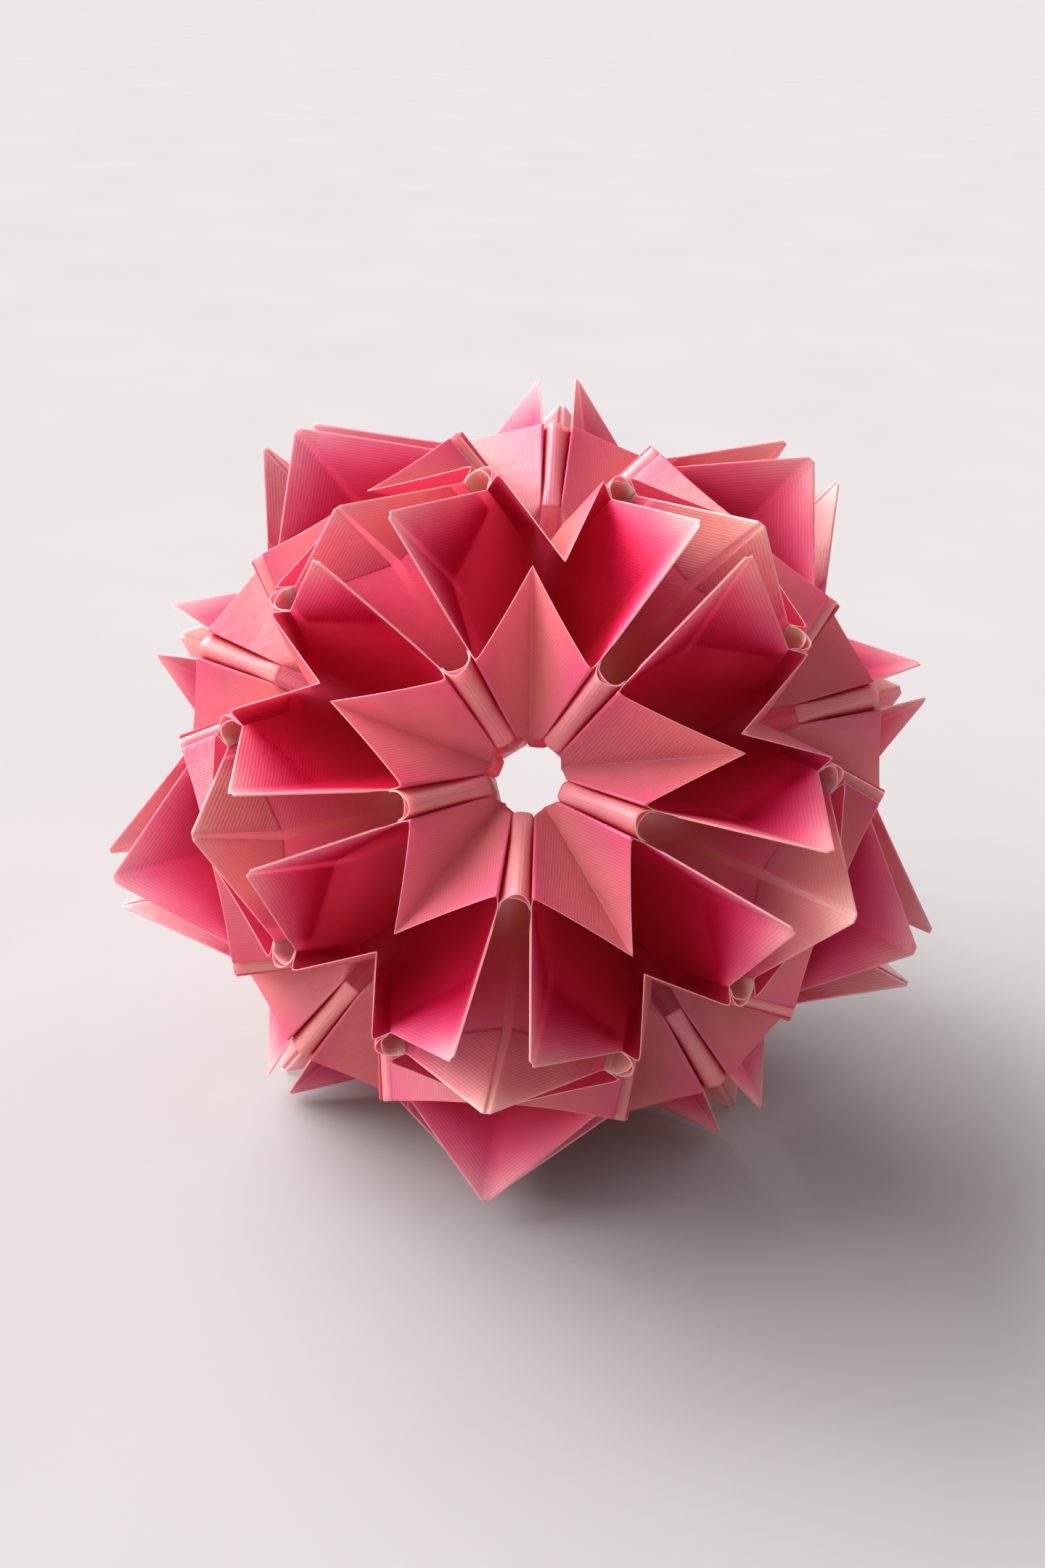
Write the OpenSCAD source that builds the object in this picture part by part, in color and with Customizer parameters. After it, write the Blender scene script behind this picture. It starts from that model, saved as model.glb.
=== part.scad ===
// Kusudama ball of thirty folded paper units, standing on ten of its points.
// Each unit is one sheet folded into a deep boat: two star petals, two prows and four rolled edges.
// Twelve five-pointed stars lie around the ball, and three prows stand around each of twenty pits.
// Neighbouring units are held together only by their seams, one rolled edge tucked inside the other.

/* [Star petals] */
// Height of the star tips on the unit's own axis, from the middle of the ball
tip_h = 50; // [48:0.5:60]
// Gap between the two star tips of one unit
tip_gap = 2.5; // [1:0.1:6]

/* [Star holes and seams] */
// Radius of the star's hole, where the seams start
hole_r = 4.5; // [4:0.1:6]
// Height of the star's hole, from the middle of the ball
hole_h = 39.6; // [36:0.1:42]
// Radius from the star's axis to the outer end of a seam
seam_end_r = 14.2; // [13:0.1:17]
// Height of the outer end of a seam, from the middle of the ball
seam_end_h = 48.9; // [46:0.1:52]
// Width of a seam, from ridge to ridge
seam_w = 4; // [3.4:0.1:4.6]
// Depth of the groove on each side of a seam
groove_d = 2.75; // [2.2:0.05:3.6]
// How far a seam's rolled crest stands above the ridges beside it
crest_rise = 0.3; // [0:0.05:0.8]

/* [Prows] */
// Height of the prow tips on the pit's axis, from the middle of the ball
prow_h = 60.6; // [56:0.1:68]
// Distance of the prow tips from the pit's axis
prow_r = 4.6; // [3:0.1:7]
// Width of a prow's blunt edge
prow_w = 1.4; // [0.8:0.1:2.4]
// Distance from a prow's tip down to the fold across its flanks
fold_down = 15; // [10:0.5:20]
// How far the fold across a prow leans into the hollow
fold_lean = 0.7; // [0:0.1:1.4]

/* [Hollow] */
// Height of the hollow's bottom, from the middle of the ball
keel_h = 16.1; // [12:0.1:22]
// Height of the wall at a star's hole, from the petal's foot down to the keel
hole_wall = 10.5; // [7:0.1:13]

/* [Paper] */
// Thickness of the folded sheet
paper_t = 0.3; // [0.2:0.02:0.4]
// Clearance around a rolled edge tucked into its neighbour
tuck_gap = 0.15; // [0.1:0.01:0.2]

/* [Hidden] */
paper_colour = "#d0596c";
crest_steps = 6;
golden = (1 + sqrt(5)) / 2;

// Directions in a unit's own frame: u towards one of its stars, v towards one of its pits, n outward
star_tilt = atan(1 / golden);
pit_tilt = atan(1 / (golden * golden));
star_axis = [sin(star_tilt), 0, cos(star_tilt)];
star_in = [-cos(star_tilt), 0, sin(star_tilt)];
pit_axis = [0, sin(pit_tilt), cos(pit_tilt)];
pit_in = [0, -cos(pit_tilt), sin(pit_tilt)];
side_v = [0, 1, 0];

// A seam runs in the plane through a star's axis and a pit's axis, a tenth of a turn from the petal
seam_turn = 36;
seam_out = star_in * cos(seam_turn) + side_v * sin(seam_turn);
seam_across = side_v * cos(seam_turn) - star_in * sin(seam_turn);
seam_slope = atan2(seam_end_h - hole_h, seam_end_r - hole_r);
seam_len = norm([seam_end_h - hole_h, seam_end_r - hole_r]);
seam_dir = seam_out * cos(seam_slope) + star_axis * sin(seam_slope);
seam_down = seam_out * sin(seam_slope) - star_axis * cos(seam_slope);
seam_end = seam_out * seam_end_r + star_axis * seam_end_h;

// Half widths of the two nested rolls, which share one centre
outer_roll = seam_w / 2 - paper_t - tuck_gap;
inner_roll = outer_roll - paper_t - tuck_gap;
roll_centre = crest_rise - outer_roll;

function unit_vec(a) = a / norm(a);
function sum_of(list, i = 0) = i == len(list) - 1 ? list[i] : list[i] + sum_of(list, i + 1);

// Solves a symmetric three by three system by Cramer's rule
function solve3(m, b) =
    let (c0 = [m[0][0], m[1][0], m[2][0]], c1 = [m[0][1], m[1][1], m[2][1]], c2 = [m[0][2], m[1][2], m[2][2]])
    let (det = c0 * cross(c1, c2))
    [b * cross(c1, c2), c0 * cross(b, c2), c0 * cross(c1, b)] / det;

// Corner points of one quarter of the boat, on the middle of the paper
ridge_end = seam_end - seam_across * seam_w / 2;
groove_end = ridge_end + seam_down * groove_d;
ridge_foot = ridge_end - seam_dir * seam_len;
groove_foot = groove_end - seam_dir * seam_len;
star_tip = [tip_gap / 2, 0, tip_h];

// The petal's centre crease ends in the plane of its half, level with the ridge's foot
petal_normal = cross(ridge_end - ridge_foot, star_tip - ridge_foot);
foot_in = ridge_foot * star_in;
foot_h = (petal_normal * star_tip - foot_in * (petal_normal * star_in)) / (petal_normal * star_axis);
petal_foot = star_axis * foot_h + star_in * foot_in;

// Two flanks meet in the keel, which runs from the bottom of the hollow up to the wall at the star's hole
keel_bottom = [prow_w / 2, 0, keel_h];
keel_end = petal_foot - star_axis * hole_wall;

// A prow is creased across, from the ends of its two grooves to a point on its blunt edge
prow_tip = pit_axis * prow_h + pit_in * prow_r + [prow_w / 2, 0, 0];
prow_fold = prow_tip + unit_vec(keel_bottom - prow_tip) * fold_down - side_v * fold_lean;

// Six corners in each quarter of the boat, then four on the middle line of each half
quarters = [[1, 1], [-1, 1], [-1, -1], [1, -1]];
quarter_points = [ridge_end, groove_end, ridge_foot, groove_foot, prow_tip, prow_fold];
middle_points = [star_tip, petal_foot, keel_end, keel_bottom];
function quarter_point(p, q) = [p[0] * q[0], p[1] * q[1], p[2]];
boat_points = concat(
    [for (q = quarters) for (p = quarter_points) quarter_point(p, q)],
    [for (s = [1, -1]) for (p = middle_points) quarter_point(p, [s, 1])]);
function half_of(q) = q == 0 || q == 3 ? 0 : 1;
function corner(q, k) = q * len(quarter_points) + k;
function middle(q, k) = len(quarters) * len(quarter_points) + half_of(q) * len(middle_points) + k;
function ridge(q) = corner(q, 0);
function groove(q) = corner(q, 1);
function ridge_low(q) = corner(q, 2);
function groove_low(q) = corner(q, 3);
function prow(q) = corner(q, 4);
function fold(q) = corner(q, 5);
function tip(q) = middle(q, 0);
function foot(q) = middle(q, 1);
function keel(q) = middle(q, 2);
function bottom(q) = middle(q, 3);
function turned(face, q) = q % 2 == 0 ? face : [for (i = [len(face) - 1:-1:0]) face[i]];

// Flat panels of the boat, each wound the same way round seen from the outside of the ball
boat_panels = concat(
    [for (q = [0:3]) turned([tip(q), ridge(q), ridge_low(q), foot(q)], q)],
    [for (q = [0:3]) turned([ridge(q), groove(q), groove_low(q), ridge_low(q)], q)],
    [for (q = [0:3]) turned([groove(q), prow(q), fold(q)], q)],
    [for (q = [0:3]) turned([groove(q), fold(q), bottom(q)], q)],
    [for (q = [0:3]) turned([groove(q), bottom(q), keel(q)], q)],
    [for (q = [0:3]) turned([groove(q), keel(q), groove_low(q)], q)],
    [for (q = [0, 2]) [prow(q), prow(q + 1), fold(q + 1), fold(q)]],
    [for (q = [0, 2]) [fold(q), fold(q + 1), bottom(q + 1), bottom(q)]],
    [for (q = [0:3]) turned([ridge_low(q), groove_low(q), keel(q)], q)],
    [for (q = [0:3]) turned([ridge_low(q), keel(q), foot(q)], q)]);
boat_rim = [
    tip(0), ridge(0), groove(0), prow(0), prow(1), groove(1), ridge(1),
    tip(1), ridge(2), groove(2), prow(2), prow(3), groove(3), ridge(3)];

function panel_normal(f) =
    unit_vec(cross(boat_points[f[1]] - boat_points[f[0]], boat_points[f[2]] - boat_points[f[1]]));
panel_normals = [for (f = boat_panels) panel_normal(f)];

// Direction in which a corner moves so that every panel around it moves by one
function corner_shift(i) =
    let (around = [for (k = [0:len(boat_panels) - 1]) if (len(search(i, boat_panels[k])) > 0) panel_normals[k]])
    let (steady = 0.001)
    let (rows = [for (r = [0:2]) [for (c = [0:2])
        sum_of([for (a = around) a[r] * a[c]]) + (r == c ? steady : 0)]])
    solve3(rows, sum_of(around));
boat_shifts = [for (i = [0:len(boat_points) - 1]) corner_shift(i)];
function boat_side(d) = [for (i = [0:len(boat_points) - 1]) boat_points[i] + boat_shifts[i] * d];
sheet_points = concat(boat_side(-paper_t / 2), boat_side(paper_t / 2));
back = len(boat_points);

function fan(f) = [for (k = [1:len(f) - 2]) [f[0], f[k], f[k + 1]]];
sheet_faces = concat(
    [for (f = boat_panels) each fan(f)],
    [for (f = boat_panels) each fan([for (i = [len(f) - 1:-1:0]) f[i] + back])],
    [for (k = [0:len(boat_rim) - 1])
        let (a = boat_rim[k], b = boat_rim[(k + 1) % len(boat_rim)])
        each fan([b, a, a + back, b + back])]);

// Section of a rolled edge: a web from the sheet's own wall, then up over the crest to a free end
function arc(r, from, to) =
    [for (k = [0:crest_steps]) let (a = from + (to - from) * k / crest_steps) [r * cos(a), roll_centre + r * sin(a)]];
function roll_section(r) =
    let (near = r - paper_t / 2, far = r + paper_t / 2)
    let (web_low = -groove_d - paper_t / 2, web_top = -groove_d + paper_t / 2)
    let (free_end = web_top + tuck_gap)
    concat(
        [[-seam_w / 2, web_low], [-near, web_low]],
        arc(near, 180, 0),
        [[near, free_end], [far, free_end]],
        arc(far, 0, 180),
        [[-far, web_top], [-seam_w / 2, web_top]]);

// One rolled edge of a unit, on the seam at its v side or at the other one
module rolled_edge(side, r) {
    function to_side(p) = [p[0], p[1] * side, p[2]];
    across = to_side(seam_across) * side;
    up = to_side(-seam_down);
    along = to_side(-seam_dir);
    at = to_side(seam_end);
    multmatrix([
        [across[0], up[0], along[0], at[0]],
        [across[1], up[1], along[1], at[1]],
        [across[2], up[2], along[2], at[2]],
        [0, 0, 0, 1]])
        linear_extrude(seam_len)
            polygon([for (p = roll_section(r)) [p[0] * side, p[1]]]);
}

// The boat with its petals and prows, from one sheet
module boat() {
    polyhedron(points = sheet_points, faces = sheet_faces);
}

// One folded unit in its own frame, with pockets at two of its seams and tabs at the others
module paper_unit() {
    color(paper_colour)
        union() {
            boat();
            for (half = [0, 180])
                rotate(half) {
                    rolled_edge(1, outer_roll);
                    rolled_edge(-1, inner_roll);
                }
        }
}

// The twelve star axes: one up, one down and two rings of five
ring_z = 1 / sqrt(5);
ring_r = 2 / sqrt(5);
star_axes = concat(
    [[0, 0, 1]],
    [for (k = [0:4]) [ring_r * cos(72 * k - 90), ring_r * sin(72 * k - 90), ring_z]],
    [for (k = [0:4]) [ring_r * cos(72 * k + 90), ring_r * sin(72 * k + 90), -ring_z]],
    [[0, 0, -1]]);

// A unit lies between each two neighbouring stars
star_pairs = [for (i = [0:10]) for (j = [i + 1:11]) if (star_axes[i] * star_axes[j] > 0.1) [i, j]];
function unit_u(k) = unit_vec(star_axes[star_pairs[k][0]] - star_axes[star_pairs[k][1]]);
function unit_n(k) = unit_vec(star_axes[star_pairs[k][0]] + star_axes[star_pairs[k][1]]);
function unit_v(k) = cross(unit_n(k), unit_u(k));

// The ball stands on its lowest paper corners
ball_h = -min([for (k = [0:len(star_pairs) - 1])
    for (p = sheet_points) unit_u(k)[2] * p[0] + unit_v(k)[2] * p[1] + unit_n(k)[2] * p[2]]);

module placed_unit(k) {
    u = unit_u(k);
    v = unit_v(k);
    n = unit_n(k);
    multmatrix([
        [u[0], v[0], n[0], 0],
        [u[1], v[1], n[1], 0],
        [u[2], v[2], n[2], ball_h],
        [0, 0, 0, 1]])
        paper_unit();
}

function unit_name(k) = str("unit_", k < 9 ? "0" : "", k + 1);

for (k = [0:len(star_pairs) - 1])
    placed_unit(k);
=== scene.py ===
"""Dresses the kusudama ball: thirty folded units of ribbed satin paper, rose outside and crimson inside."""
import math
import random

import bpy
import numpy as np
from mathutils import Matrix, Quaternion, Vector


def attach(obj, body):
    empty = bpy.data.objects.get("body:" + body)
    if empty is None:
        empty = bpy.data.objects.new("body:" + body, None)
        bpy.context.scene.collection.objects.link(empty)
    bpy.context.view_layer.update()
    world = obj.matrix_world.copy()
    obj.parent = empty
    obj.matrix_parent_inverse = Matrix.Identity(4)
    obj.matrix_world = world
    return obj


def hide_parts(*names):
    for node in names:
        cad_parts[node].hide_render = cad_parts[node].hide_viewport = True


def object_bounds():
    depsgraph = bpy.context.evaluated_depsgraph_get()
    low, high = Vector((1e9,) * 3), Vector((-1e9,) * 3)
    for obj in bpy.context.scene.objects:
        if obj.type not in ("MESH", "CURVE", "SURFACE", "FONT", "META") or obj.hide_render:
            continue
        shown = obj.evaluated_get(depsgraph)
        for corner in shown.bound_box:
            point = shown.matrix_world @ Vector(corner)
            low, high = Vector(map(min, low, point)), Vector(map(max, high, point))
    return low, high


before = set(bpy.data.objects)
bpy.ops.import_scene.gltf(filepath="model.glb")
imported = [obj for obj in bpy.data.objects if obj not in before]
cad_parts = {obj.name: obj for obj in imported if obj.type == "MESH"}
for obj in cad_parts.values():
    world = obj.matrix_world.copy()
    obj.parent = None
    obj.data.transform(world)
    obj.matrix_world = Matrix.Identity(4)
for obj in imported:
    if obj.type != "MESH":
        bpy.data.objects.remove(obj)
cad_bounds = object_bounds()
MM = 0.001
CENTRE = (Vector(cad_bounds[0]) + Vector(cad_bounds[1])) / 2

# Driving sizes of one unit in millimetres, the same as the part's own
TIP_H = 50.0
TIP_GAP = 2.5
HOLE_R = 4.5
HOLE_H = 39.6
SEAM_END_R = 14.2
SEAM_END_H = 48.9
SEAM_W = 4.0
GROOVE_D = 2.75
CREST_RISE = 0.3
PROW_H = 60.6
PROW_R = 4.6
PROW_W = 1.4
FOLD_DOWN = 15.0
FOLD_LEAN = 0.7
KEEL_H = 16.1
HOLE_WALL = 10.5

# Details that are finer than the solid's, in millimetres where nothing else is said
SHEET_T = 0.12  # thickness of the sheet at its rims
RIM_ROUND = 0.3  # how far a rim bulges, as a share of the paper's thickness
PROW_EDGE = 0.38  # half width of a prow's edge at its tip, as a share of PROW_W
FLAP_T = 0.1  # thickness of a turned-in flap
FLAP_AIR = 0.03  # air between a flap and the sheet behind it
FLAP_LIFT = 0.14  # how far a flap's free edge stands off
FLAP_START = 0.1  # where a flap starts, as a share of the way from the seam to the prow's edge
FLAP_REACH = 0.6  # how far two flaps close over the prow's edge at its tip, as a share
ARM_IN = 2.0  # from a seam's end to the end of the fold across a prow
WAIST = 0.3  # how far a petal's rim is drawn in at its middle
BULGE = 0.2  # how far a panel may swell or sag
TAPER = 0.6  # how much nearer the two sides of a seam are at the hole
WIDER = 1.6  # how much wider the back star's hole stands open, as seen through the front one

# The rolled edges, in millimetres where nothing else is said
ROLL_T = 0.14  # thickness of the paper
ROLL_STEP = 0.7  # from a pocket's crest down to the tab's
ROLL_TOP = 0.62  # half width of a crest, before it is rounded
ROLL_FLARE = 0.4  # how much wider a crest is at the hole, as a share
ROLL_LEAN = 0.35  # how far a crest leans to its own petal
TAB_BASE_IN = 0.25  # how much narrower a tab's foot is, as a share of its step down
TAB_TOP_IN = 0.2  # how much narrower a tab's crest is, as a share of its step down
TAB_SHORT = 5.0  # from a tab's end to the hole
NOSE_IN = 0.6  # where a roll starts to turn down into the hole
NOSE_R = 0.8  # radius of that turn at the crest
NOSE_FLAT = 0.3  # height of a roll at the hole, as a share
NOSE_FIRST = 6.0  # first step of the turn, in degrees
NOSE_TURN = 35.0  # the whole turn, in degrees
NOSE_STEPS = 5
POCKET_STEPS = 14
TAB_STEPS = 6
POCKET_CUTS = 3  # how often the corners of a pocket's section are cut
TAB_CUTS = 2
FADE = 4.0  # length over which a groove runs out towards the hole
ROLL_DEEPEST_SHADE = -0.8 * GROOVE_D  # height at which a roll's painted shade is deepest
ROLL_UNSHADED = -0.1  # height from which it has no painted shade and is palest

# The ball is folded by hand, so its tips stray, in millimetres
STRAY = 0.5  # the most that a tip strays at random, in each direction
MOST_STRAY = 4.0  # the most that a measured tip strays
FLOOR_GAP = 0.3  # least height of a tip's middle above the floor
SEED = 100  # of the first unit's random numbers; each next unit has the next seed

# How often the points of the paper are evened out, to round its folds
FOLD_SOFT = 2  # everywhere but on the rims
HOLE_SOFT = 5.0  # added at the edge of a hole
WALL_SOFT = 3.0  # added in the grooves at the hole
KEEL_SOFT = 3.0  # added along the prow's edge and the keel
CORNER_SOFT = 5.0  # for the rim's corners at a seam's end

# Colours of the paper, as sRGB; some stand in for light and shade, as noted beside them
SALMON = (250, 154, 158)
CORAL = (242, 100, 146)
ROSE = (240, 108, 138)
# painted shade: the dark red down in the grooves, beside the walls and the rolls
RUBY_SHADE = (196, 20, 52)
BLUSH = (246, 168, 174)
PEACH = (255, 192, 194)
# painted sheen: near white at the prows' tips
PEACH_SHEEN = (255, 224, 222)
CERISE = (255, 122, 162)
MAUVE = (255, 180, 212)
# painted glow: a prow's edge lit through the single sheet
LILAC_GLOW = (255, 240, 246)
# painted glow: the orange of light shining through the paper deep in the pits
AMBER_GLOW = (255, 198, 160)
# partly the print's pale edge and partly painted sheen, inside a prow along its rim
PALE_PRINT_AND_SHEEN = (255, 196, 204)
PINK = (238, 96, 142)
RED_ROSE = (210, 20, 76)
CRIMSON = (178, 0, 36)
# the crimson print darkened with painted shade, deep in the hollows
GARNET_SHADED = (152, 0, 10)
BERRY = (194, 8, 62)
# the rims: the paper's paler cut edge with painted highlight
EDGE_AND_HIGHLIGHT = (255, 226, 224)
# painted light: pale where light comes in through the holes, on the holes' walls and under the rolls
SHELL_PAINTED_LIGHT = (255, 216, 206)

# The paper's finish
RIB_PITCH = 0.42  # millimetres from rib to rib
RIB_SHADE = 0.1  # how much darker the lines between ribs are
RIB_HEIGHT = 0.5  # height of the ribs beside the fibres' own
GLOW = 0.42  # share of the light that passes into doubled paper
THIN_GLOW = 0.56  # the same where the paper is single, deep down
OUTER_TINT = (1.0, 0.5, 0.56, 1.0)  # what the light takes on in passing through
INNER_TINT = (1.0, 0.2, 0.36, 1.0)
OUTER_SHINE = 0.9
INNER_SHINE = 0.35
OUTER_ROUGH = 0.36
INNER_ROUGH = 0.5
EDGE_ROUGH = 0.6
ROUGH_RANGE = 0.08  # how far the fibres change the roughness, up and down
MOTTLE = {"Scale": 110.0, "Detail": 4.0, "Roughness": 0.6}
MOTTLE_SHADE = {"From Min": 0.3, "From Max": 0.7, "To Min": 0.9, "To Max": 1.06}
FIBRE = {"Scale": 2600.0, "Detail": 3.0, "Roughness": 0.7}
WASH = {"Scale": 55.0, "Detail": 2.0}
WASH_TINTS = ((0.35, (1.0, 0.86, 1.0, 1.0)), (0.65, (1.0, 1.0, 0.86, 1.0)))
FINE_BUMP = {"Strength": 0.35, "Distance": 0.00005}
WAVY_BUMP = {"Strength": 0.5, "Distance": 0.0006}

# The floor, in metres and sRGB
FLOOR_SIZE = 120.0
FLOOR_NOISE = {"Scale": 14.0, "Detail": 5.0}
FLOOR_TINTS = ((168, 165, 165), (176, 173, 173))
FLOOR_ROUGH = 0.8
FLOOR_SHINE = 0.0

# Each broad light's name, the direction towards it, its level and its colour
LIGHTS = (
    ("key", (-0.75, 0.0, 0.66), 1.2, (1.0, 0.99, 0.98)),
    ("high", (-0.6, 0.55, 0.58), 1.3, (1.0, 1.0, 1.0)),
    ("left", (-0.75, -0.65, 0.12), 0.42, (1.0, 0.99, 0.99)),
    ("back", (0.7, 0.7, 0.12), 0.42, (1.0, 1.0, 1.0)),
)
LIGHT_SPREAD = 50.0  # degrees
WORLD_LIGHT = {"Color": (1.0, 0.96, 0.96, 1.0), "Strength": 0.36}
BACKDROP = (0.8, 0.78, 0.78, 1.0)  # what the camera sees beyond the floor

# The camera's place in millimetres and its turn in radians, with the front star's axis as third axis
CAMERA_AT = (3.9, -2.9, 245.0)
CAMERA_TURN = (-0.0099, -0.0204, -0.0784)
LENS = 38.6
SENSOR = 36.0
NEAR_CLIP = 0.01  # metres
PHOTO = (1440, 2160)  # pixels across and down

# Tips that stray, with their places in the photo measured: unit, end, and pixels across and down
PETAL_TIPS = (
    (1, -1, 734, 779), (1, 1, 779, 774), (6, -1, 1022, 1011), (6, 1, 1028, 1038), (9, 1, 872, 1318),
    (9, -1, 888, 1342), (8, 1, 543, 1287), (8, -1, 519, 1311), (7, 1, 455, 966), (7, -1, 441, 941),
)
PROW_TIPS = (
    (1, 1, 538, 709), (1, -1, 964, 721), (6, -1, 1033, 768), (6, 1, 1145, 1172), (9, -1, 1093, 1283),
    (9, 1, 734, 1466), (8, -1, 621, 1458), (8, 1, 343, 1204), (7, -1, 319, 1093), (7, 1, 425, 784),
    (2, 1, 1050, 722), (11, 1, 1179, 1266), (26, -1, 670, 1534), (20, -1, 265, 1153), (5, -1, 465, 699),
    (4, 1, 740, 525), (3, -1, 796, 524), (10, 1, 1266, 913), (12, -1, 1274, 965), (28, 1, 1048, 1525),
    (5, 1, 410, 593), (16, -1, 364, 618), (4, -1, 434, 585), (3, 1, 1081, 609), (2, -1, 1118, 633),
    (10, -1, 1154, 666), (12, 1, 1283, 1282), (11, -1, 1261, 1310), (28, -1, 1250, 1356),
    (27, -1, 655, 1625), (29, 1, 696, 1625), (27, 1, 402, 1506), (24, 1, 370, 1476), (19, 1, 218, 904),
    (16, 1, 240, 832), (26, 1, 669, 1655),
)

GOLDEN = (1 + math.sqrt(5)) / 2
TINY = 1e-9  # keeps a division from failing where a length is nothing


def vec(*v):
    return np.array(v, float)


def unit(v):
    return v / np.linalg.norm(v)


def square_to(line, towards):
    """The direction square to a line that leads towards something."""
    line = unit(line)
    return unit(towards - line * (towards @ line))


def linear(colour):
    """Turns sRGB values from 0 to 255 into linear ones from 0 to 1."""
    c = np.array(colour, float) / 255
    return np.where(c <= 0.04045, c / 12.92, ((c + 0.055) / 1.055) ** 2.4)


def mix(a, b, f):
    """Blends two sRGB colours, or fields of them, by the field f."""
    f = np.clip(np.asarray(f, float), 0, 1)[..., None]
    return np.asarray(a, float) * (1 - f) + np.asarray(b, float) * f


def ease(x, low, high):
    """Rises softly from 0 at low to 1 at high."""
    f = np.clip((x - low) / (high - low), 0, 1)
    return f * f * (3 - 2 * f)


# Directions in a unit's own frame: u to one of its stars, v to one of its pits, n outward
star_tilt = math.atan(1 / GOLDEN)
pit_tilt = math.atan(1 / GOLDEN ** 2)
STAR_AXIS = vec(math.sin(star_tilt), 0, math.cos(star_tilt))
STAR_IN = vec(-math.cos(star_tilt), 0, math.sin(star_tilt))
PIT_AXIS = vec(0, math.sin(pit_tilt), math.cos(pit_tilt))
PIT_IN = vec(0, -math.cos(pit_tilt), math.sin(pit_tilt))
SIDE_V = vec(0, 1, 0)
BACK = vec(0, 2, -1) / math.sqrt(5)  # the back star's axis, in the ball's frame
SAME_AXIS = 0.99  # two directions whose product is more than this are the same star's

# A seam's own directions, in the plane through a star's axis and a pit's axis
seam_turn = math.radians(36)
seam_slope = math.atan2(SEAM_END_H - HOLE_H, SEAM_END_R - HOLE_R)
SEAM_LEN = math.hypot(SEAM_END_H - HOLE_H, SEAM_END_R - HOLE_R)
SEAM_OUT = STAR_IN * math.cos(seam_turn) + SIDE_V * math.sin(seam_turn)
SEAM_ACROSS = SIDE_V * math.cos(seam_turn) - STAR_IN * math.sin(seam_turn)
SEAM_DIR = SEAM_OUT * math.cos(seam_slope) + STAR_AXIS * math.sin(seam_slope)
SEAM_DOWN = SEAM_OUT * math.sin(seam_slope) - STAR_AXIS * math.cos(seam_slope)
SEAM_END = SEAM_OUT * SEAM_END_R + STAR_AXIS * SEAM_END_H


def corner_points():
    """Corner points of one quarter of a unit, on the middle of its paper."""
    ridge = SEAM_END - SEAM_ACROSS * SEAM_W / 2
    groove = ridge + SEAM_DOWN * GROOVE_D
    ridge_foot = ridge - SEAM_DIR * SEAM_LEN + SEAM_ACROSS * TAPER
    tip = vec(TIP_GAP / 2, 0, TIP_H)
    petal_normal = np.cross(ridge - ridge_foot, tip - ridge_foot)
    foot_in = ridge_foot @ STAR_IN
    foot_h = (petal_normal @ tip - foot_in * (petal_normal @ STAR_IN)) / (petal_normal @ STAR_AXIS)
    foot = STAR_AXIS * foot_h + STAR_IN * foot_in
    prow = PIT_AXIS * PROW_H + PIT_IN * PROW_R + vec(PROW_W * PROW_EDGE, 0, 0)
    bottom = vec(PROW_W / 2, 0, KEEL_H)
    fold = prow + unit(bottom - prow) * FOLD_DOWN - SIDE_V * FOLD_LEAN
    return {
        "ridge": ridge, "groove": groove, "ridge_foot": ridge_foot,
        "groove_foot": ridge_foot + SEAM_DOWN * GROOVE_D,
        "arm": groove + unit(ridge_foot - ridge) * ARM_IN,
        "tip": tip, "foot": foot, "prow": prow, "fold": fold,
        "low": (fold + bottom) / 2, "bottom": bottom, "keel": foot - STAR_AXIS * HOLE_WALL,
    }


def spaced(count, near):
    """Steps from 0 to 1, with a close one at each end so that a crease stays crisp."""
    inner = np.linspace(0, 1, count - 1)[1:-1]
    return np.concatenate([[0, near], inner, [1 - near, 1]])


def lattice(a, b, c, d, s, t):
    """Points of the patch a b c d, with s running from a to b and t from a to d."""
    s, t = s[:, None, None], t[None, :, None]
    return a * (1 - s) * (1 - t) + b * s * (1 - t) + c * s * t + d * (1 - s) * t


# Steps along the patches; two patches that meet at an edge share its steps
ARM_STEPS = np.array([0, 0.02, 0.16, 0.34, 0.52, 0.68, 0.8, 0.88, 0.95, 1])
SEAM_STEPS = spaced(10, 0.015)
FLANK_STEPS = spaced(18, 0.01)
PETAL_STEPS = spaced(12, 0.03)
WALL_STEPS = spaced(6, 0.06)
STRIP_STEPS = np.array([0.0, 0.2, 1.0])
arm_share = ARM_IN / SEAM_LEN
WHOLE_STEPS = np.concatenate([SEAM_STEPS * (1 - arm_share), 1 - arm_share + ARM_STEPS[1:] * arm_share])


class Patch:
    """A lattice of points on one quarter of a unit, with its paint, its ribs and how soft its folds are."""

    def __init__(self, name, at, steps, outside, inside, ribs, to_tip=None, to_prow=None, soft=None, rim=None,
                 shape=None, glow=None):
        self.name = name
        s, t = np.meshgrid(*steps, indexing="ij")
        flat = np.zeros_like(s)
        self.points = lattice(*at, *steps)
        if shape:
            self.points = self.points + shape(s, t)
        self.to_tip = to_tip(s, t) if to_tip else flat
        self.to_prow = to_prow(s, t) if to_prow else flat
        self.soft = flat + FOLD_SOFT + (soft(s, t) if soft else 0)
        self.rim = rim(s, t) if rim else flat
        self.glow = flat + (glow(s, t) if glow else GLOW)
        self.swell = np.sin(np.pi * s) * np.sin(np.pi * t)
        self.outside = np.broadcast_to(outside(s, t), s.shape + (3,))
        self.inside = np.broadcast_to(inside(s, t), s.shape + (3,))
        self.rib = self.points @ ribs


# The paint of the patches, where s and t run as in lattice(). A name ending in _in is the paper's inside.


def petal_tint(s, t):
    """Salmon along the middle, coral towards the seam and the rim."""
    return mix(SALMON, CORAL, s ** 2 * (0.25 + 0.75 * t))


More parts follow.
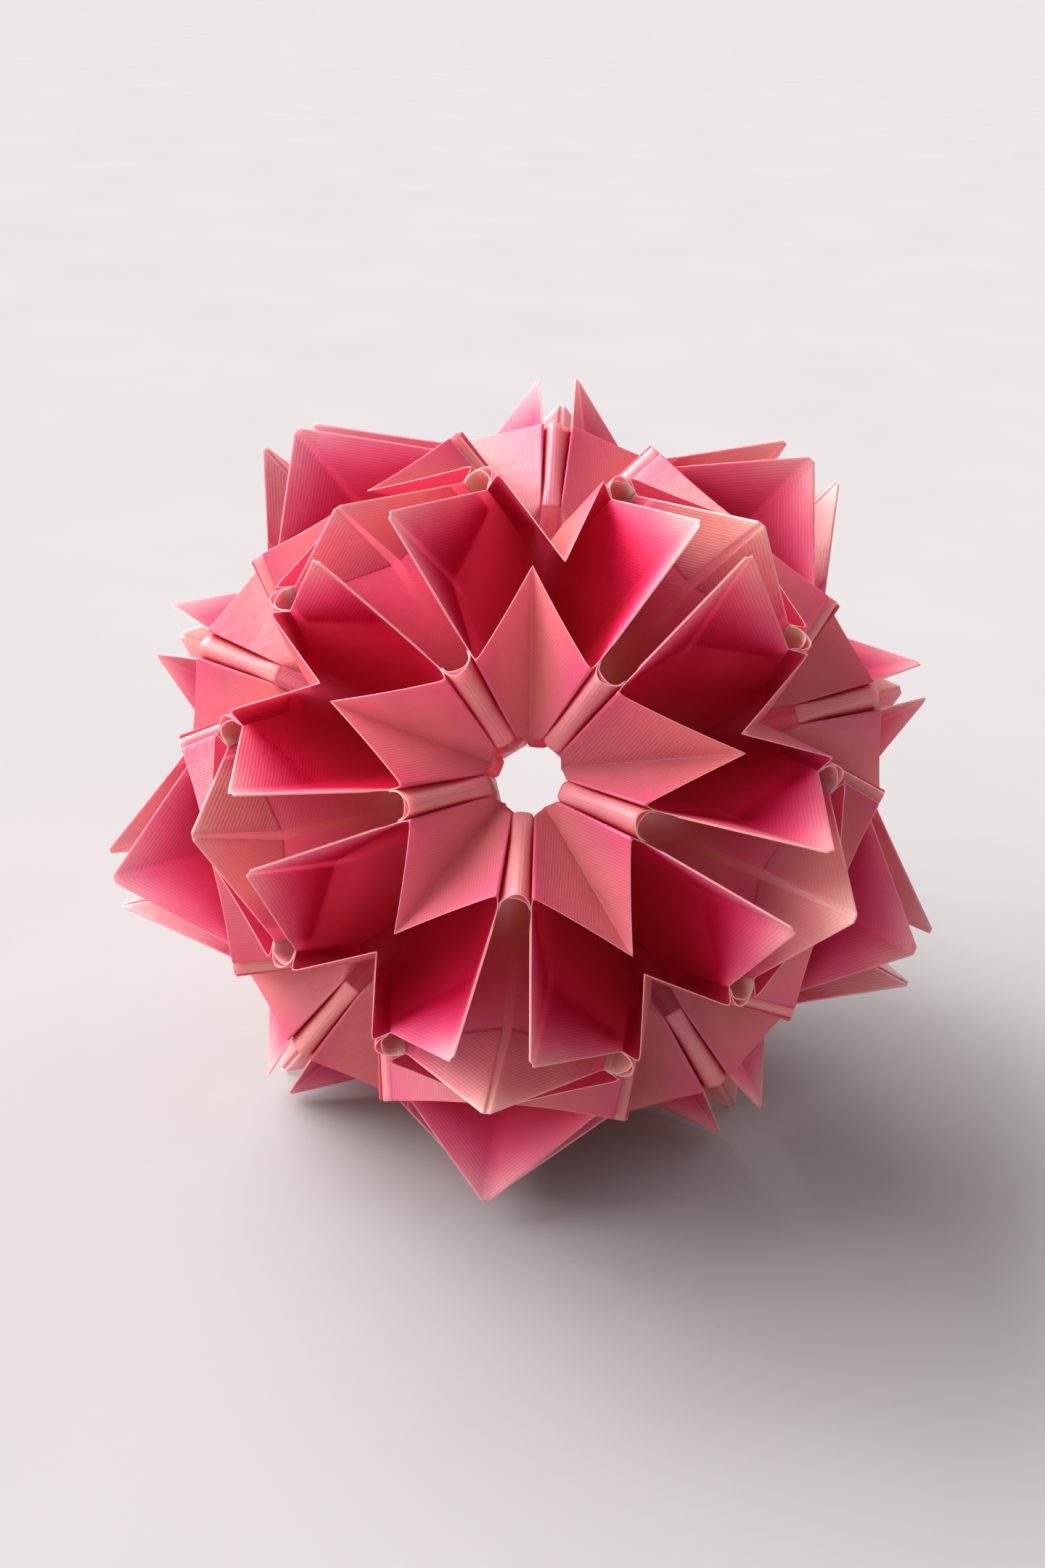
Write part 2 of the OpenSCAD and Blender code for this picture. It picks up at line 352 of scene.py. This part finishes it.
def petal_in(s, t):
    """Crimson, and pinker towards the rim."""
    return mix(CRIMSON, PINK, ease(t, 0.5, 1.0) * 0.6)


def wall_shaded_tint(s, t):
    """Rose at the petal, and soon ruby on the way down into the groove: painted shade."""
    return mix(ROSE, RUBY_SHADE, s * 1.8)


def wall_in(s, t):
    return mix(PINK, RED_ROSE, s)


def flap_sheen_tint(s, t):
    """Outside of a prow's flap: cerise at the seam, peach along the prow and palest at its tip with painted
    sheen.
    """
    tint = mix(CERISE, PEACH, ease(s, 0.0, 0.5))
    return mix(mix(MAUVE, tint, ease(t, -0.4, 0.6)), PEACH_SHEEN, ease(s * t, 0.6, 1.0))


def hollow_sheen_in(s, t):
    """Inside of a prow above its fold: palest at the tip, rose at the rim, red down at the fold; the pale is
    partly print and partly painted sheen.
    """
    tint = mix(BERRY, PINK, ease(t, 0.0, 0.7))
    return mix(tint, PALE_PRINT_AND_SHEEN, ease(t, 0.55, 1.0) * (0.35 + 0.65 * ease(s, 0.4, 1.0)))


def hollow_edge_in(s, t):
    """The same along the prow's edge."""
    return hollow_sheen_in(1.0, t)


def lower_glow_tint(s, t):
    """Below the fold: mauve, and from halfway down warmer with painted amber glow of light shining through
    the paper.
    """
    return mix(AMBER_GLOW, MAUVE, 0.5 + t)


# Berry near the fold, darker garnet deeper down: crimson print with painted shade
def lower_shaded_in(s, t):
    return mix(GARNET_SHADED, BERRY, ease(t, 0.1, 1.0))


def deep_glow_tint(s, t):
    """Painted amber glow of light shining through the paper at the hole, on the way to mauve at the middle of
    the unit.
    """
    return mix(AMBER_GLOW, MAUVE, t * 0.5)


# Garnet all over: crimson print with painted shade, deep in the hollow
def deep_shaded_in(s, t):
    return vec(*GARNET_SHADED)


def end_lit_tint(s, t):
    """The wall of the hole: salmon at its upper edge, and pale below with painted light that comes in through
    the holes.
    """
    return mix(SALMON, SHELL_PAINTED_LIGHT, s * 4)


# Crimson at the hole's edge, garnet down its wall: crimson print with painted shade
def end_shaded_in(s, t):
    return mix(CRIMSON, GARNET_SHADED, s)


def lower_glow(s, t):
    """The sheet is single far down and doubled near the fold."""
    return THIN_GLOW + (GLOW - THIN_GLOW) * ease(t, 0.6, 1.0)


def thin_glow(s, t):
    return THIN_GLOW


def patches_of_quarter():
    k = corner_points()
    petal_up = unit(k["tip"] - k["foot"])
    petal_ribs = square_to(SEAM_DIR, k["tip"] - k["ridge"])
    flank_ribs = square_to(k["prow"] - k["groove"], k["prow"] - k["fold"])

    def waist(s, t):
        return -petal_up * (WAIST * 4 * s * (1 - s) * ease(t, 0.5, 1.0))[..., None]

    def corners(*names):
        return [k[name] for name in names]

    patches = [
        Patch("petal", corners("foot", "ridge_foot", "ridge", "tip"), (PETAL_STEPS, WHOLE_STEPS),
              petal_tint, petal_in, petal_ribs, to_tip=lambda s, t: (1 - s) * t, shape=waist,
              soft=lambda s, t: HOLE_SOFT * (t < 0.06),
              rim=lambda s, t: CORNER_SOFT * ((t == 1) & (s > 0.93))),
        Patch("wall", corners("ridge_foot", "groove_foot", "groove", "ridge"), (WALL_STEPS, WHOLE_STEPS),
              wall_shaded_tint, wall_in, SEAM_DOWN,
              soft=lambda s, t: WALL_SOFT * (t < 0.1), rim=lambda s, t: CORNER_SOFT * (t == 1)),
        Patch("upper", corners("arm", "fold", "prow", "groove"), (FLANK_STEPS, ARM_STEPS),
              flap_sheen_tint, hollow_sheen_in, flank_ribs, to_prow=lambda s, t: s * t,
              rim=lambda s, t: CORNER_SOFT * ((t == 1) & (s < 0.06))),
        Patch("lower", corners("groove_foot", "low", "fold", "arm"), (FLANK_STEPS, SEAM_STEPS),
              lower_glow_tint, lower_shaded_in, flank_ribs, glow=lower_glow),
        Patch("deep", corners("groove_foot", "keel", "bottom", "low"), (PETAL_STEPS, FLANK_STEPS),
              deep_glow_tint, deep_shaded_in, flank_ribs, glow=thin_glow),
        Patch("end", corners("foot", "keel", "groove_foot", "ridge_foot"), (WALL_STEPS, PETAL_STEPS),
              end_lit_tint, end_shaded_in, STAR_AXIS, soft=lambda s, t: HOLE_SOFT * (s < 0.2)),
    ]

    # Narrow strips close the prow's edge and the keel, from the tip down to the bottom of the hollow; their
    # lilac and amber are painted glow of light shining through the single sheet
    strips = (
        ("tip_strip", "prow", "fold", ARM_STEPS, (LILAC_GLOW, PEACH_SHEEN), hollow_edge_in, lambda s, t: t, None),
        ("strip", "fold", "low", SEAM_STEPS, (AMBER_GLOW, LILAC_GLOW), lower_shaded_in, None, thin_glow),
        ("strip", "low", "bottom", PETAL_STEPS, (AMBER_GLOW, AMBER_GLOW), deep_shaded_in, None, thin_glow),
    )
    for name, top, end, steps, out, inside, to_prow, glow in strips:
        middle = [k[point] * vec(0, 1, 1) for point in (end, top)]
        patches.append(
            Patch(name, (k[end], middle[0], middle[1], k[top]), (STRIP_STEPS, steps),
                  lambda s, t, out=out: mix(out[0], out[1], t), inside, flank_ribs,
                  to_prow=to_prow, soft=lambda s, t: KEEL_SOFT, glow=glow))
    return patches


def edge_pairs(faces):
    """Every edge of the faces, and the edges of the rim as their only face runs along them."""
    sides = np.concatenate([np.stack([faces[:, k], faces[:, (k + 1) % 4]], 1) for k in range(4)])
    _, first, count = np.unique(np.sort(sides, 1), axis=0, return_index=True, return_counts=True)
    return sides[first], sides[first[count == 1]]


def vertex_normals(verts, faces):
    a, b, c, d = (verts[faces[:, k]] for k in range(4))
    face_normal = np.cross(c - a, d - b)
    normals = np.zeros_like(verts)
    for k in range(4):
        np.add.at(normals, faces[:, k], face_normal)
    return normals / np.maximum(np.linalg.norm(normals, axis=1, keepdims=True), TINY)


def softened(verts, faces, passes, rim_passes):
    """Rounds the folds: each vertex moves towards its neighbours, and one on the rim only along the rim."""
    edges, rim = edge_pairs(faces)
    on_rim = np.zeros(len(verts), bool)
    on_rim[rim.ravel()] = True
    pairs = np.concatenate([edges, edges[:, ::-1]])
    pairs = np.concatenate([pairs[~on_rim[pairs[:, 0]]], rim, rim[:, ::-1]])
    number = np.maximum(np.bincount(pairs[:, 0], minlength=len(verts)), 1)[:, None]
    passes = np.where(on_rim, rim_passes, passes)
    for k in range(int(passes.max())):
        total = np.zeros_like(verts)
        np.add.at(total, pairs[:, 0], verts[pairs[:, 1]])
        verts = np.where((passes > k)[:, None], (verts + total / number) / 2, verts)
    return verts


def grid_faces(index, flip):
    quads = np.stack([index[:-1, :-1], index[1:, :-1], index[1:, 1:], index[:-1, 1:]], -1).reshape(-1, 4)
    return quads[:, ::-1] if flip else quads


class PaperMesh:
    """Gathers thick sheets of paper into one mesh, with the paint and the rib lines of every corner."""

    def __init__(self):
        self.verts, self.polys, self.tone, self.rib, self.glow, self.slot = [], [], [], [], [], []
        self.count = 0

    def add_sheet(self, verts, normals, faces, tones, rib, thick, glow):
        """The paint of the two sides, the ribs and the glow are given for each corner of each face."""
        n = len(verts)
        _, rim = edge_pairs(faces)
        away = np.cross(verts[rim[:, 1]] - verts[rim[:, 0]], normals[rim[:, 0]] + normals[rim[:, 1]])
        out = np.zeros_like(verts)
        np.add.at(out, rim[:, 0], away)
        np.add.at(out, rim[:, 1], away)
        out /= np.maximum(np.linalg.norm(out, axis=1, keepdims=True), TINY)
        front, back, edge = self.count, self.count + n, self.count + 2 * n
        half = normals * thick / 2
        self.verts += [verts + half, verts - half, verts + out * thick * RIM_ROUND]
        self.count += 3 * n
        a, b = rim[:, 0], rim[:, 1]
        strips = np.concatenate([np.stack([b + front, a + front, a + edge, b + edge], 1),
                                 np.stack([b + edge, a + edge, a + back, b + back], 1)])
        self.polys += [faces + front, faces[:, ::-1] + back, strips]
        # The rims take the pale edge colour, with painted highlight
        self.tone += [tones[0], tones[1][:, ::-1], np.broadcast_to(vec(*EDGE_AND_HIGHLIGHT), strips.shape + (3,))]
        self.rib += [rib, rib[:, ::-1], np.zeros(strips.shape)]
        self.glow += [glow, glow[:, ::-1], np.full(strips.shape, GLOW)]
        self.slot += [np.full(len(faces), 0), np.full(len(faces), 1), np.full(len(strips), 2)]

    def add_grid(self, grid, flip, outside, inside, rib, thick):
        """A sheet from a lattice of points, with the glow of doubled paper."""
        n, m = grid.shape[:2]
        faces = grid_faces(np.arange(n * m).reshape(n, m), flip)
        verts = grid.reshape(-1, 3)
        tones = [np.broadcast_to(tint, grid.shape).reshape(-1, 3)[faces] for tint in (outside, inside)]
        self.add_sheet(verts, vertex_normals(verts, faces), faces, tones, rib.reshape(-1)[faces], thick,
                       np.full(faces.shape, GLOW))

    def build(self, name, materials, frame):
        """The mesh with its vertices in their places on the ball; frame holds the unit's own directions."""
        polys = np.concatenate(self.polys)
        tone = linear(np.concatenate(self.tone).reshape(-1, 3))
        used, place = np.unique(polys, return_inverse=True)
        corners = place.ravel().astype(np.int32)
        mesh = bpy.data.meshes.new(name)
        mesh.vertices.add(len(used))
        places = (np.concatenate(self.verts)[used] @ frame.T) * MM + np.array(CENTRE)
        mesh.vertices.foreach_set("co", places.astype(np.float32).ravel())
        mesh.loops.add(len(corners))
        mesh.loops.foreach_set("vertex_index", corners)
        mesh.polygons.add(len(polys))
        mesh.polygons.foreach_set("loop_start", np.arange(0, len(corners), 4, dtype=np.int32))
        mesh.polygons.foreach_set("material_index", np.concatenate(self.slot).astype(np.int32))
        mesh.polygons.foreach_set("use_smooth", np.ones(len(polys), bool))
        colour = np.concatenate([tone, np.ones((len(tone), 1))], 1).astype(np.float32)
        mesh.attributes.new("tone", "FLOAT_COLOR", "CORNER").data.foreach_set("color", colour.ravel())
        for field, parts in (("rib", self.rib), ("glow", self.glow)):
            values = np.concatenate([part.ravel() for part in parts]).astype(np.float32)
            mesh.attributes.new(field, "FLOAT", "CORNER").data.foreach_set("value", values)
        for material in materials:
            mesh.materials.append(material)
        mesh.update(calc_edges=True)
        return mesh


QUARTERS = ((1, 1), (-1, 1), (-1, -1), (1, -1))
PATCHES = patches_of_quarter()
UPPER = next(patch for patch in PATCHES if patch.name == "upper")


def opened(points, end, wider):
    """Moves the paper around a hole away from the star's axis; end tells which star of the unit."""
    axis = STAR_AXIS * vec(end, 1, 1)
    away = points - (points @ axis)[..., None] * axis
    reach = np.linalg.norm(away, axis=-1, keepdims=True)
    return points + away / reach * wider * (1 - ease(reach, HOLE_R, 3 * HOLE_R))


def add_flaps(paper, verts, normals, places):
    """The flaps on the prows' outsides, which follow the sheet and stand off a little at their free edges."""
    s, t = np.meshgrid(FLANK_STEPS, ARM_STEPS, indexing="ij")
    rows = s[:, 0] > FLAP_START
    free = np.maximum(ease(s, 0.7, 1.0) * (1 - t), 1 - ease(t, 0, 0.25))
    lift = FLAP_AIR + (SHEET_T + FLAP_T) / 2 + FLAP_LIFT * free
    over = (FLAP_REACH * ARM_STEPS)[:, None]
    rib = np.concatenate([UPPER.rib[rows], UPPER.rib[-1:]])
    paint = [np.concatenate([tint[rows], tint[-1:]]) for tint in (UPPER.outside, UPPER.inside)]
    for flank, near, far, flip in places:
        grid = verts[flank] + normals[flank] * lift[..., None]
        edge = verts[near] * (1 - over) + verts[far] * over
        edge_normal = normals[near] * (1 - over) + normals[far] * over
        edge = edge + edge_normal * lift[-1][:, None]
        paper.add_grid(np.concatenate([grid[rows], edge[None]]), flip, *paint, rib, FLAP_T)


def add_boat(paper, chance, tip_stray, prow_stray, wider):
    """The folded sheet with its petals, its prows and the flaps on their outsides."""
    points, faces, places = [], [], []
    start = 0
    for a, b in QUARTERS:
        index_of = {}
        flip = a * b < 0
        for patch in PATCHES:
            grid = opened(patch.points * vec(a, b, 1), a, wider[a])
            grid = grid + patch.to_tip[..., None] * tip_stray[a] + patch.to_prow[..., None] * prow_stray[b]
            if patch.name in ("petal", "upper", "lower"):
                normal = unit(np.cross(grid[-1, 0] - grid[0, -1], grid[-1, -1] - grid[0, 0]))
                grid = grid + patch.swell[..., None] * normal * chance.uniform(-1, 1) * BULGE
            index = np.arange(patch.rib.size).reshape(patch.rib.shape) + start
            faces.append(grid_faces(index, flip))
            points.append(grid.reshape(-1, 3))
            index_of[patch.name] = index
            start += index.size
        places.append((index_of["upper"], index_of["tip_strip"], flip))
    points, faces = np.concatenate(points), np.concatenate(faces)

    def gathered(field, *width):
        values = [getattr(patch, field).reshape(-1, *width) for patch in PATCHES]
        return np.concatenate(values * len(QUARTERS))

    _, first, stand_in = np.unique(np.round(points, 3), axis=0, return_index=True, return_inverse=True)
    stand_in = stand_in.reshape(-1)
    soft, rim = np.zeros(len(first)), np.zeros(len(first))
    np.maximum.at(soft, stand_in, gathered("soft"))
    np.maximum.at(rim, stand_in, gathered("rim"))
    welded = stand_in[faces]
    verts = softened(points[first], welded, soft, rim)
    normals = vertex_normals(verts, welded)
    tones = (gathered("outside", 3)[faces], gathered("inside", 3)[faces])
    paper.add_sheet(verts, normals, welded, tones, gathered("rib")[faces], SHEET_T, gathered("glow")[faces])
    add_flaps(paper, verts, normals, [(stand_in[upper], stand_in[strip[0]], stand_in[strip[-1]], flip)
                                      for upper, strip, flip in places])


def rounded(line, times):
    """Cuts the corners of a line of points again and again, with its two ends kept."""
    for _ in range(times):
        quarter, three = line[:-1] * 0.75 + line[1:] * 0.25, line[:-1] * 0.25 + line[1:] * 0.75
        line = np.concatenate([line[:1], np.stack([quarter, three], 1).reshape(-1, 2)[1:-1], line[-1:]])
    return line


def roll_section(step_in, share):
    """Section of a rolled edge at a share of the way to the hole."""
    base = SEAM_W / 2 - TAPER * share - step_in * TAB_BASE_IN
    top = (ROLL_TOP - step_in * TAB_TOP_IN) * (1 + ROLL_FLARE * share)
    lean = ROLL_LEAN * (1 - share)
    crest = CREST_RISE - step_in
    # From the groove up to the crest, over it and down to the free end
    line = np.array([
        (-base, -GROOVE_D), (-base * 0.9, -GROOVE_D * 0.45), (-top - lean, crest),
        (top - lean, crest), (base * 0.85, -GROOVE_D * 0.4), (base * 0.97, -GROOVE_D * 0.85),
    ])
    return rounded(line, POCKET_CUTS if step_in == 0 else TAB_CUTS)


def add_rolls(paper, wider):
    """The rolled edges: pockets at two of the seams and tabs at the two others."""
    bends = np.radians(np.linspace(NOSE_FIRST, NOSE_TURN, NOSE_STEPS))
    pocket = (1, 0.0, np.linspace(0, SEAM_LEN - NOSE_IN, POCKET_STEPS), bends)
    tab = (-1, ROLL_STEP, np.linspace(0, SEAM_LEN - TAB_SHORT, TAB_STEPS), bends[:0])
    for side, step_in, straight, turned in (pocket, tab):
        along = np.concatenate([straight, np.full(len(turned), straight[-1])])
        turn = np.concatenate([np.zeros(len(straight)), turned])
        height = NOSE_FLAT + (1 - NOSE_FLAT) * ease(SEAM_LEN - along, NOSE_IN, NOSE_IN + FADE)
        section = np.stack([roll_section(step_in, a / SEAM_LEN) for a in along], 1)
        arc = np.r_[0, np.cumsum(np.linalg.norm(np.diff(section[:, 0], axis=0), axis=1))]
        x = section[..., 0]
        y = CREST_RISE - (CREST_RISE - section[..., 1]) * height
        pivot = CREST_RISE - NOSE_R
        up = np.where(turn > 0, pivot + (y - pivot) * np.cos(turn), y)
        ahead = along + (y - pivot) * np.sin(turn)
        grid = SEAM_END + SEAM_ACROSS * x[..., None] - SEAM_DOWN * up[..., None] - SEAM_DIR * ahead[..., None]
        # Painted shade: ruby low down in the grooves, rising to blush at the crest
        tint = mix(RUBY_SHADE, BLUSH, ease(section[..., 1], ROLL_DEEPEST_SHADE, ROLL_UNSHADED))
        rib = np.broadcast_to(arc[:, None], x.shape)
        for half in (1, -1):
            placed = opened(grid * vec(half, half * side, 1), half, wider[half])
            # The roll's underside is pale with painted light from the holes
            paper.add_grid(placed, side > 0, tint, vec(*SHELL_PAINTED_LIGHT), rib, ROLL_T)


def star_axes():
    ring_z, ring_r = 1 / math.sqrt(5), 2 / math.sqrt(5)
    ring = [math.radians(72 * k) for k in range(5)]
    high = [vec(ring_r * math.sin(x), -ring_r * math.cos(x), ring_z) for x in ring]
    low = [vec(-ring_r * math.sin(x), ring_r * math.cos(x), -ring_z) for x in ring]
    return [vec(0, 0, 1)] + high + low + [vec(0, 0, -1)]


def unit_frames():
    """The directions u, v and n of each unit as columns; a unit lies between two neighbouring stars."""
    axes = star_axes()
    frames = []
    for i, first in enumerate(axes):
        for second in axes[i + 1:]:
            if first @ second > 0:
                u, n = unit(first - second), unit(first + second)
                frames.append(np.stack([u, np.cross(n, u), n], 1))
    return frames


def node(tree, kind, sockets=None, **settings):
    made = tree.nodes.new(kind)
    for key, value in settings.items():
        setattr(made, key, value)
    for key, value in (sockets or {}).items():
        made.inputs[key].default_value = value
    return made


def paper_material(name, roughness, shine, tint):
    """Satin paper with fine ribs, a soft mottle and the tone of each place, which holds the print and some
    painted light and shade; light shines through.
    """
    material = bpy.data.materials.new(name)
    material.use_nodes = True
    tree = material.node_tree
    link = tree.links.new
    shader = tree.nodes["Principled BSDF"]
    shader.inputs["Specular IOR Level"].default_value = shine
    tone = node(tree, "ShaderNodeAttribute", attribute_name="tone")
    rib = node(tree, "ShaderNodeAttribute", attribute_name="rib")
    share = node(tree, "ShaderNodeAttribute", attribute_name="glow")
    place = node(tree, "ShaderNodeTexCoord")
    mottle, fibre, wash = (node(tree, "ShaderNodeTexNoise", sockets) for sockets in (MOTTLE, FIBRE, WASH))
    for noise in (mottle, fibre, wash):
        link(place.outputs["Object"], noise.inputs["Vector"])

    # The painted tone of print and some painted light and shade, darker between the ribs, mottled and
    # slightly washed in hue
    phase = node(tree, "ShaderNodeMath", {1: 2 * math.pi / RIB_PITCH}, operation="MULTIPLY")
    link(rib.outputs["Fac"], phase.inputs[0])
    wave = node(tree, "ShaderNodeMath", operation="SINE")
    link(phase.outputs["Value"], wave.inputs[0])
    shade = node(tree, "ShaderNodeMapRange", MOTTLE_SHADE)
    link(mottle.outputs["Fac"], shade.inputs["Value"])
    lines = node(tree, "ShaderNodeMath", {1: RIB_SHADE}, operation="MULTIPLY_ADD")
    link(wave.outputs["Value"], lines.inputs[0])
    link(shade.outputs["Result"], lines.inputs[2])
    colour = node(tree, "ShaderNodeMix", {"Factor": 1.0}, data_type="RGBA", blend_type="MULTIPLY")
    link(tone.outputs["Color"], colour.inputs["A"])
    link(lines.outputs["Value"], colour.inputs["B"])
    hues = node(tree, "ShaderNodeValToRGB")
    for stop, (position, hue) in zip(hues.color_ramp.elements, WASH_TINTS):
        stop.position = position
        stop.color = hue
    link(wash.outputs["Fac"], hues.inputs["Fac"])
    washed = node(tree, "ShaderNodeMix", {"Factor": 1.0}, data_type="RGBA", blend_type="MULTIPLY")
    link(colour.outputs["Result"], washed.inputs["A"])
    link(hues.outputs["Color"], washed.inputs["B"])
    link(washed.outputs["Result"], shader.inputs["Base Color"])

    # The relief of ribs and fibres, and a slight waviness
    height = node(tree, "ShaderNodeMath", {1: RIB_HEIGHT}, operation="MULTIPLY_ADD")
    link(wave.outputs["Value"], height.inputs[0])
    link(fibre.outputs["Fac"], height.inputs[2])
    fine = node(tree, "ShaderNodeBump", FINE_BUMP)
    link(height.outputs["Value"], fine.inputs["Height"])
    wavy = node(tree, "ShaderNodeBump", WAVY_BUMP)
    link(mottle.outputs["Fac"], wavy.inputs["Height"])
    link(fine.outputs["Normal"], wavy.inputs["Normal"])
    link(wavy.outputs["Normal"], shader.inputs["Normal"])
    rough_ends = {"To Min": roughness - ROUGH_RANGE, "To Max": roughness + ROUGH_RANGE}
    rough = node(tree, "ShaderNodeMapRange", rough_ends)
    link(fibre.outputs["Fac"], rough.inputs["Value"])
    link(rough.outputs["Result"], shader.inputs["Roughness"])

    # The light that passes through
    glow = node(tree, "ShaderNodeBsdfTranslucent", {"Color": tint})
    both = node(tree, "ShaderNodeMixShader")
    link(share.outputs["Fac"], both.inputs[0])
    link(shader.outputs["BSDF"], both.inputs[1])
    link(glow.outputs["BSDF"], both.inputs[2])
    link(both.outputs["Shader"], tree.nodes["Material Output"].inputs["Surface"])
    return material


def add_object(name, data):
    made = bpy.data.objects.new(name, data)
    bpy.context.scene.collection.objects.link(made)
    return made


def strays(measured, tip_of, frames, camera):
    """How far each measured tip is off its ideal place, square to the view, in its unit's own frame."""
    turn = np.array(camera.matrix_world.to_3x3())
    eye = np.array((camera.matrix_world.translation - CENTRE) / MM)
    focal = LENS / SENSOR * PHOTO[1]
    found = {}
    for number, end, across, down in measured:
        frame = frames[number - 1]
        x, y, z = turn.T @ (frame @ tip_of(end) - eye)
        off = vec((PHOTO[0] / 2 - across) * z / focal - x, (down - PHOTO[1] / 2) * z / focal - y, 0)
        off = turn @ (off * min(1, MOST_STRAY / np.linalg.norm(off)))
        found[number, end] = frame.T @ off
    return found


def above_floor(off, frame, tip):
    """A tip's stray, raised where it would push the tip through the floor."""
    below = FLOOR_GAP - CENTRE.z / MM - (frame @ (tip + off))[2]
    return off + frame.T @ vec(0, 0, max(below, 0))


def make_units(camera):
    frames = unit_frames()
    corner = corner_points()

    def petal_tip(end):
        return corner["tip"] * vec(end, 0, 1)

    def prow_tip(end):
        return corner["prow"] * vec(0, end, 1)

    kinds = [(tip_of, strays(measured, tip_of, frames, camera))
             for tip_of, measured in ((petal_tip, PETAL_TIPS), (prow_tip, PROW_TIPS))]
    materials = [paper_material("rose_paper", OUTER_ROUGH, OUTER_SHINE, OUTER_TINT),
                 paper_material("crimson_paper", INNER_ROUGH, INNER_SHINE, INNER_TINT),
                 paper_material("paper_edge", EDGE_ROUGH, OUTER_SHINE, OUTER_TINT)]
    for number, frame in enumerate(frames, 1):
        name = f"unit_{number:02d}"
        chance = random.Random(SEED + number - 1)
        paper = PaperMesh()
        off = []
        for tip_of, measured in kinds:
            guess = {end: vec(*(chance.uniform(-STRAY, STRAY) for _ in range(3))) for end in (1, -1)}
            off.append({end: above_floor(measured.get((number, end), guess[end]), frame, tip_of(end))
                        for end in (1, -1)})
        wider = {}
        for end in (1, -1):
            at_back = frame @ (STAR_AXIS * vec(end, 1, 1)) @ BACK > SAME_AXIS
            wider[end] = WIDER if at_back else 0.0
        add_boat(paper, chance, *off, wider)
        add_rolls(paper, wider)
        piece = add_object("paper_" + name, paper.build("paper_" + name, materials, frame))
        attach(piece, "root")
        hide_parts(name)


def make_camera():
    data = bpy.data.cameras.new("camera")
    data.lens = LENS
    data.sensor_width = SENSOR
    data.clip_start = NEAR_CLIP
    camera = add_object("camera", data)
    rise = math.atan(0.5)  # of the front star's axis above the horizon
    front = Matrix(((1, 0, 0), (0, math.sin(rise), -math.cos(rise)), (0, math.cos(rise), math.sin(rise))))
    turn = Vector(CAMERA_TURN)
    look = Quaternion(turn.normalized(), -turn.length).to_matrix()
    place = CENTRE + front @ Vector(CAMERA_AT) * MM
    camera.matrix_world = Matrix.Translation(place) @ (front @ look).to_4x4()
    bpy.context.scene.camera = camera
    return camera


def make_floor():
    h = FLOOR_SIZE / 2
    mesh = bpy.data.meshes.new("floor")
    mesh.from_pydata([(-h, -h, 0), (h, -h, 0), (h, h, 0), (-h, h, 0)], [], [(0, 1, 2, 3)])
    material = bpy.data.materials.new("pale_floor")
    material.use_nodes = True
    tree = material.node_tree
    shader = tree.nodes["Principled BSDF"]
    place = node(tree, "ShaderNodeTexCoord")
    noise = node(tree, "ShaderNodeTexNoise", FLOOR_NOISE)
    ramp = node(tree, "ShaderNodeValToRGB")
    for stop, tint in zip(ramp.color_ramp.elements, FLOOR_TINTS):
        stop.color = (*linear(tint), 1)
    tree.links.new(place.outputs["Object"], noise.inputs["Vector"])
    tree.links.new(noise.outputs["Fac"], ramp.inputs["Fac"])
    tree.links.new(ramp.outputs["Color"], shader.inputs["Base Color"])
    shader.inputs["Roughness"].default_value = FLOOR_ROUGH
    shader.inputs["Specular IOR Level"].default_value = FLOOR_SHINE
    mesh.materials.append(material)
    add_object("floor", mesh)


def soft_light(name, towards, level, colour):
    """A broad far light; level is the brightness that it gives to a white card facing it."""
    data = bpy.data.lights.new(name, "SUN")
    data.energy = level * math.pi
    data.angle = math.radians(LIGHT_SPREAD)
    data.color = colour
    lamp = add_object(name, data)
    away = Vector(towards).normalized()
    lamp.location = CENTRE + away
    lamp.rotation_euler = away.to_track_quat("Z", "Y").to_euler()


def make_world():
    """An even light from all sides; the camera sees a pale backdrop in its place."""
    world = bpy.data.worlds.new("studio")
    world.use_nodes = True
    tree = world.node_tree
    seen = tree.nodes["Background"]
    seen.inputs["Color"].default_value = BACKDROP
    lighting = node(tree, "ShaderNodeBackground", WORLD_LIGHT)
    path = node(tree, "ShaderNodeLightPath")
    both = node(tree, "ShaderNodeMixShader")
    tree.links.new(path.outputs["Is Camera Ray"], both.inputs[0])
    tree.links.new(lighting.outputs["Background"], both.inputs[1])
    tree.links.new(seen.outputs["Background"], both.inputs[2])
    tree.links.new(both.outputs["Shader"], tree.nodes["World Output"].inputs["Surface"])
    bpy.context.scene.world = world


make_floor()
for light in LIGHTS:
    soft_light(*light)
make_world()
make_units(make_camera())
bpy.context.scene.view_settings.view_transform = "Standard"
